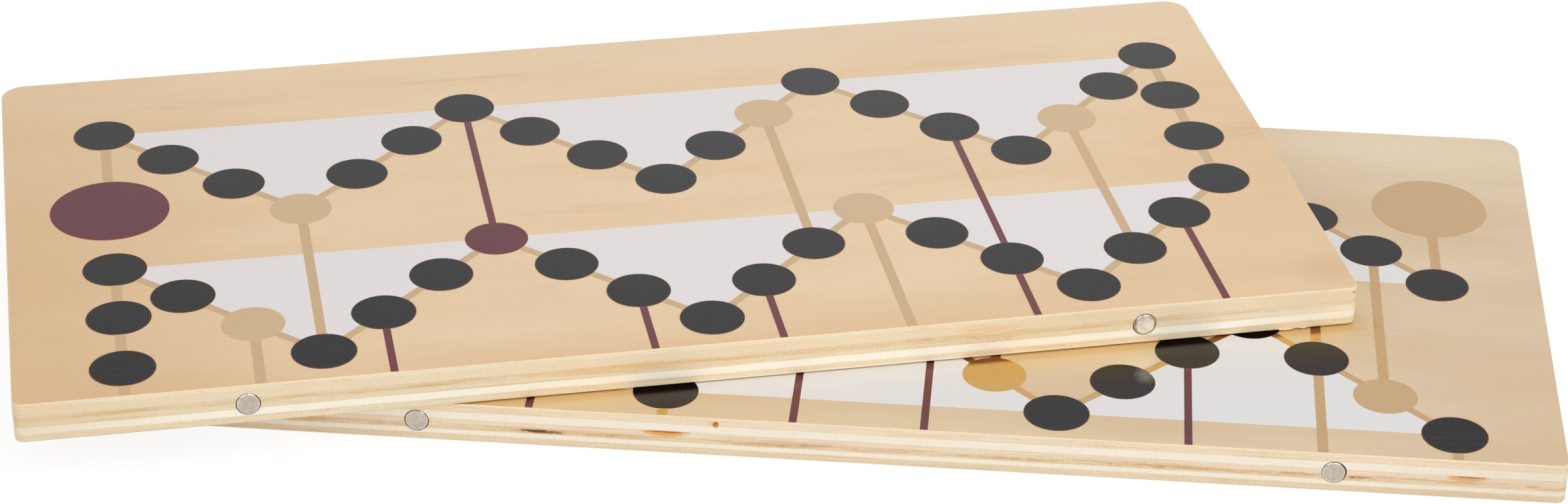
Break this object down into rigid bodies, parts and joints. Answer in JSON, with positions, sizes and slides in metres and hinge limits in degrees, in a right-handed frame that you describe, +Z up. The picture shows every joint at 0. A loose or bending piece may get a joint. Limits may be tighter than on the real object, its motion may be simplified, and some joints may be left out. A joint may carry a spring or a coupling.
{
  "type": "board game board",
  "caption": "Wooden race-track game board in two plywood halves that magnets join edge to edge, one half lying turned on the other.",
  "frame": {"origin": "middle of the lower half's underside", "axes": "+X along the lower half's long side, +Y from its joining edge to its back edge, +Z up, out of the printed faces"},
  "size_m": [0.3583, 0.2136, 0.0189],
  "materials": {
    "lower_face_wood": "satin lacquer",
    "lower_cross_wood": "sanded edge",
    "lower_core_wood": "sanded edge",
    "upper_face_wood": "satin lacquer",
    "upper_cross_wood": "sanded edge",
    "upper_core_wood": "sanded edge",
    "nickel": "nickel plate",
    "ink": "printed ink under satin lacquer",
    "black_ink": "printed ink under satin lacquer",
    "tan_ink": "printed ink under satin lacquer",
    "burgundy_ink": "printed ink under satin lacquer",
    "white_ink": "printed ink under satin lacquer"
  },
  "bodies": {
    "lower_half": {"lower_bottom_face_veneer": "lower_face_wood", "lower_bottom_cross_veneer": "lower_cross_wood", "lower_core_veneer": "lower_core_wood", "lower_top_cross_veneer": "lower_cross_wood", "lower_top_face_veneer": "lower_face_wood", "lower_left_magnet": "nickel", "lower_right_magnet": "nickel", "lower_printed_track": "ink"},
    "upper_half": {"upper_bottom_face_veneer": "upper_face_wood", "upper_bottom_cross_veneer": "upper_cross_wood", "upper_core_veneer": "upper_core_wood", "upper_top_cross_veneer": "upper_cross_wood", "upper_top_face_veneer": "upper_face_wood", "upper_left_magnet": "nickel", "upper_right_magnet": "nickel", "upper_printed_track": "ink"}
  },
  "joints": [
    {"name": "upper_half_lift", "type": "slide", "parent": "lower_half", "child": "upper_half", "axis": [0, 0, 1], "range_m": [0, 0.15]}
  ]
}
